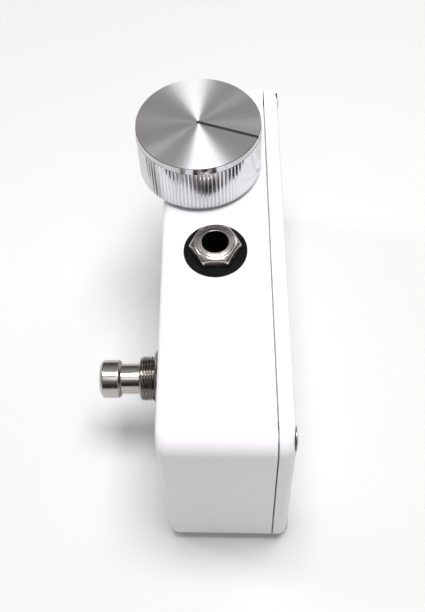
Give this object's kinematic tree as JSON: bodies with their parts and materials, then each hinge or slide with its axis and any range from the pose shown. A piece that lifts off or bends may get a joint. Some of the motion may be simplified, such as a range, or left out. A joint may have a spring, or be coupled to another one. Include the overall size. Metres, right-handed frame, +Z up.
{
  "type": "foot-controller box",
  "caption": "White die-cast foot-controller box on its long side, with a large fluted aluminium knob, a quarter-inch jack and a momentary footswitch.",
  "frame": {"origin": "middle of the flat long side that the box rests on", "axes": "+X from the closed face to the lid, +Y along the box's length, +Z up along the knob's and the jack's axes"},
  "size_m": [0.0488, 0.1124, 0.0764],
  "materials": {
    "powder_coat": "white powder coat over die-cast aluminium, fine orange peel",
    "screw_steel": "nickel-plated machine screw",
    "knob_aluminium": "clear-anodised, turned face and fluted skirt",
    "black_paint": "black paint filled into an engraved line",
    "dark_steel": "black-oxide and spring steel",
    "nickel": "bright nickel plate",
    "phenolic": "brown phenolic wafer",
    "black_plastic": "moulded black nylon",
    "washer_black": "black fibre washer, satin",
    "contact_brass": "tinned brass",
    "wire_red": "PVC insulation",
    "wire_white": "PVC insulation",
    "wire_black": "PVC insulation"
  },
  "bodies": {
    "box": {"enclosure_body": "powder_coat", "enclosure_lid": "powder_coat", "lid_screw_1": "screw_steel", "lid_screw_2": "screw_steel", "lid_screw_3": "screw_steel", "lid_screw_4": "screw_steel", "pot_front_plate": "nickel", "pot_wafer": "phenolic", "pot_can": "nickel", "pot_nut": "nickel", "pot_washer": "nickel", "pot_terminal_1": "contact_brass", "pot_terminal_2": "contact_brass", "pot_terminal_3": "contact_brass", "jack_bushing": "nickel", "jack_housing": "black_plastic", "jack_washer": "washer_black", "jack_nut": "nickel", "jack_tip_contact": "nickel", "jack_ring_contact": "nickel", "jack_sleeve_contact": "nickel", "switch_bushing": "nickel", "switch_outer_washer": "nickel", "switch_outer_nut": "nickel", "switch_lock_washer": "dark_steel", "switch_inner_nut": "nickel", "switch_frame": "nickel", "switch_housing": "black_plastic", "switch_spring": "dark_steel", "switch_terminal_1": "contact_brass", "switch_terminal_2": "contact_brass", "wire_pot_ring": "wire_red", "wire_pot_tip": "wire_white", "wire_pot_sleeve": "wire_black", "wire_switch_tip": "wire_white", "wire_switch_sleeve": "wire_black"},
    "dial": {"knob": "knob_aluminium", "knob_pointer": "black_paint", "knob_set_screw": "dark_steel", "pot_shaft": "nickel", "pot_shaft_clip": "dark_steel", "pot_rotor": "black_plastic", "pot_wiper": "contact_brass"},
    "button": {"switch_plunger": "nickel", "switch_bridge": "contact_brass"}
  },
  "joints": [
    {"name": "knob_turn", "type": "hinge", "parent": "box", "child": "dial", "pos_m": [-0.00585, 0.02455, 0.0605], "axis": [0, 0, -1], "range_deg": [0, 300]},
    {"name": "footswitch_press", "type": "slide", "parent": "box", "child": "button", "axis": [1, 0, 0], "range_m": [0, 0.0025], "stiffness_N_per_m": 900, "springref_m": -0.006, "deforming": ["switch_spring"]}
  ]
}
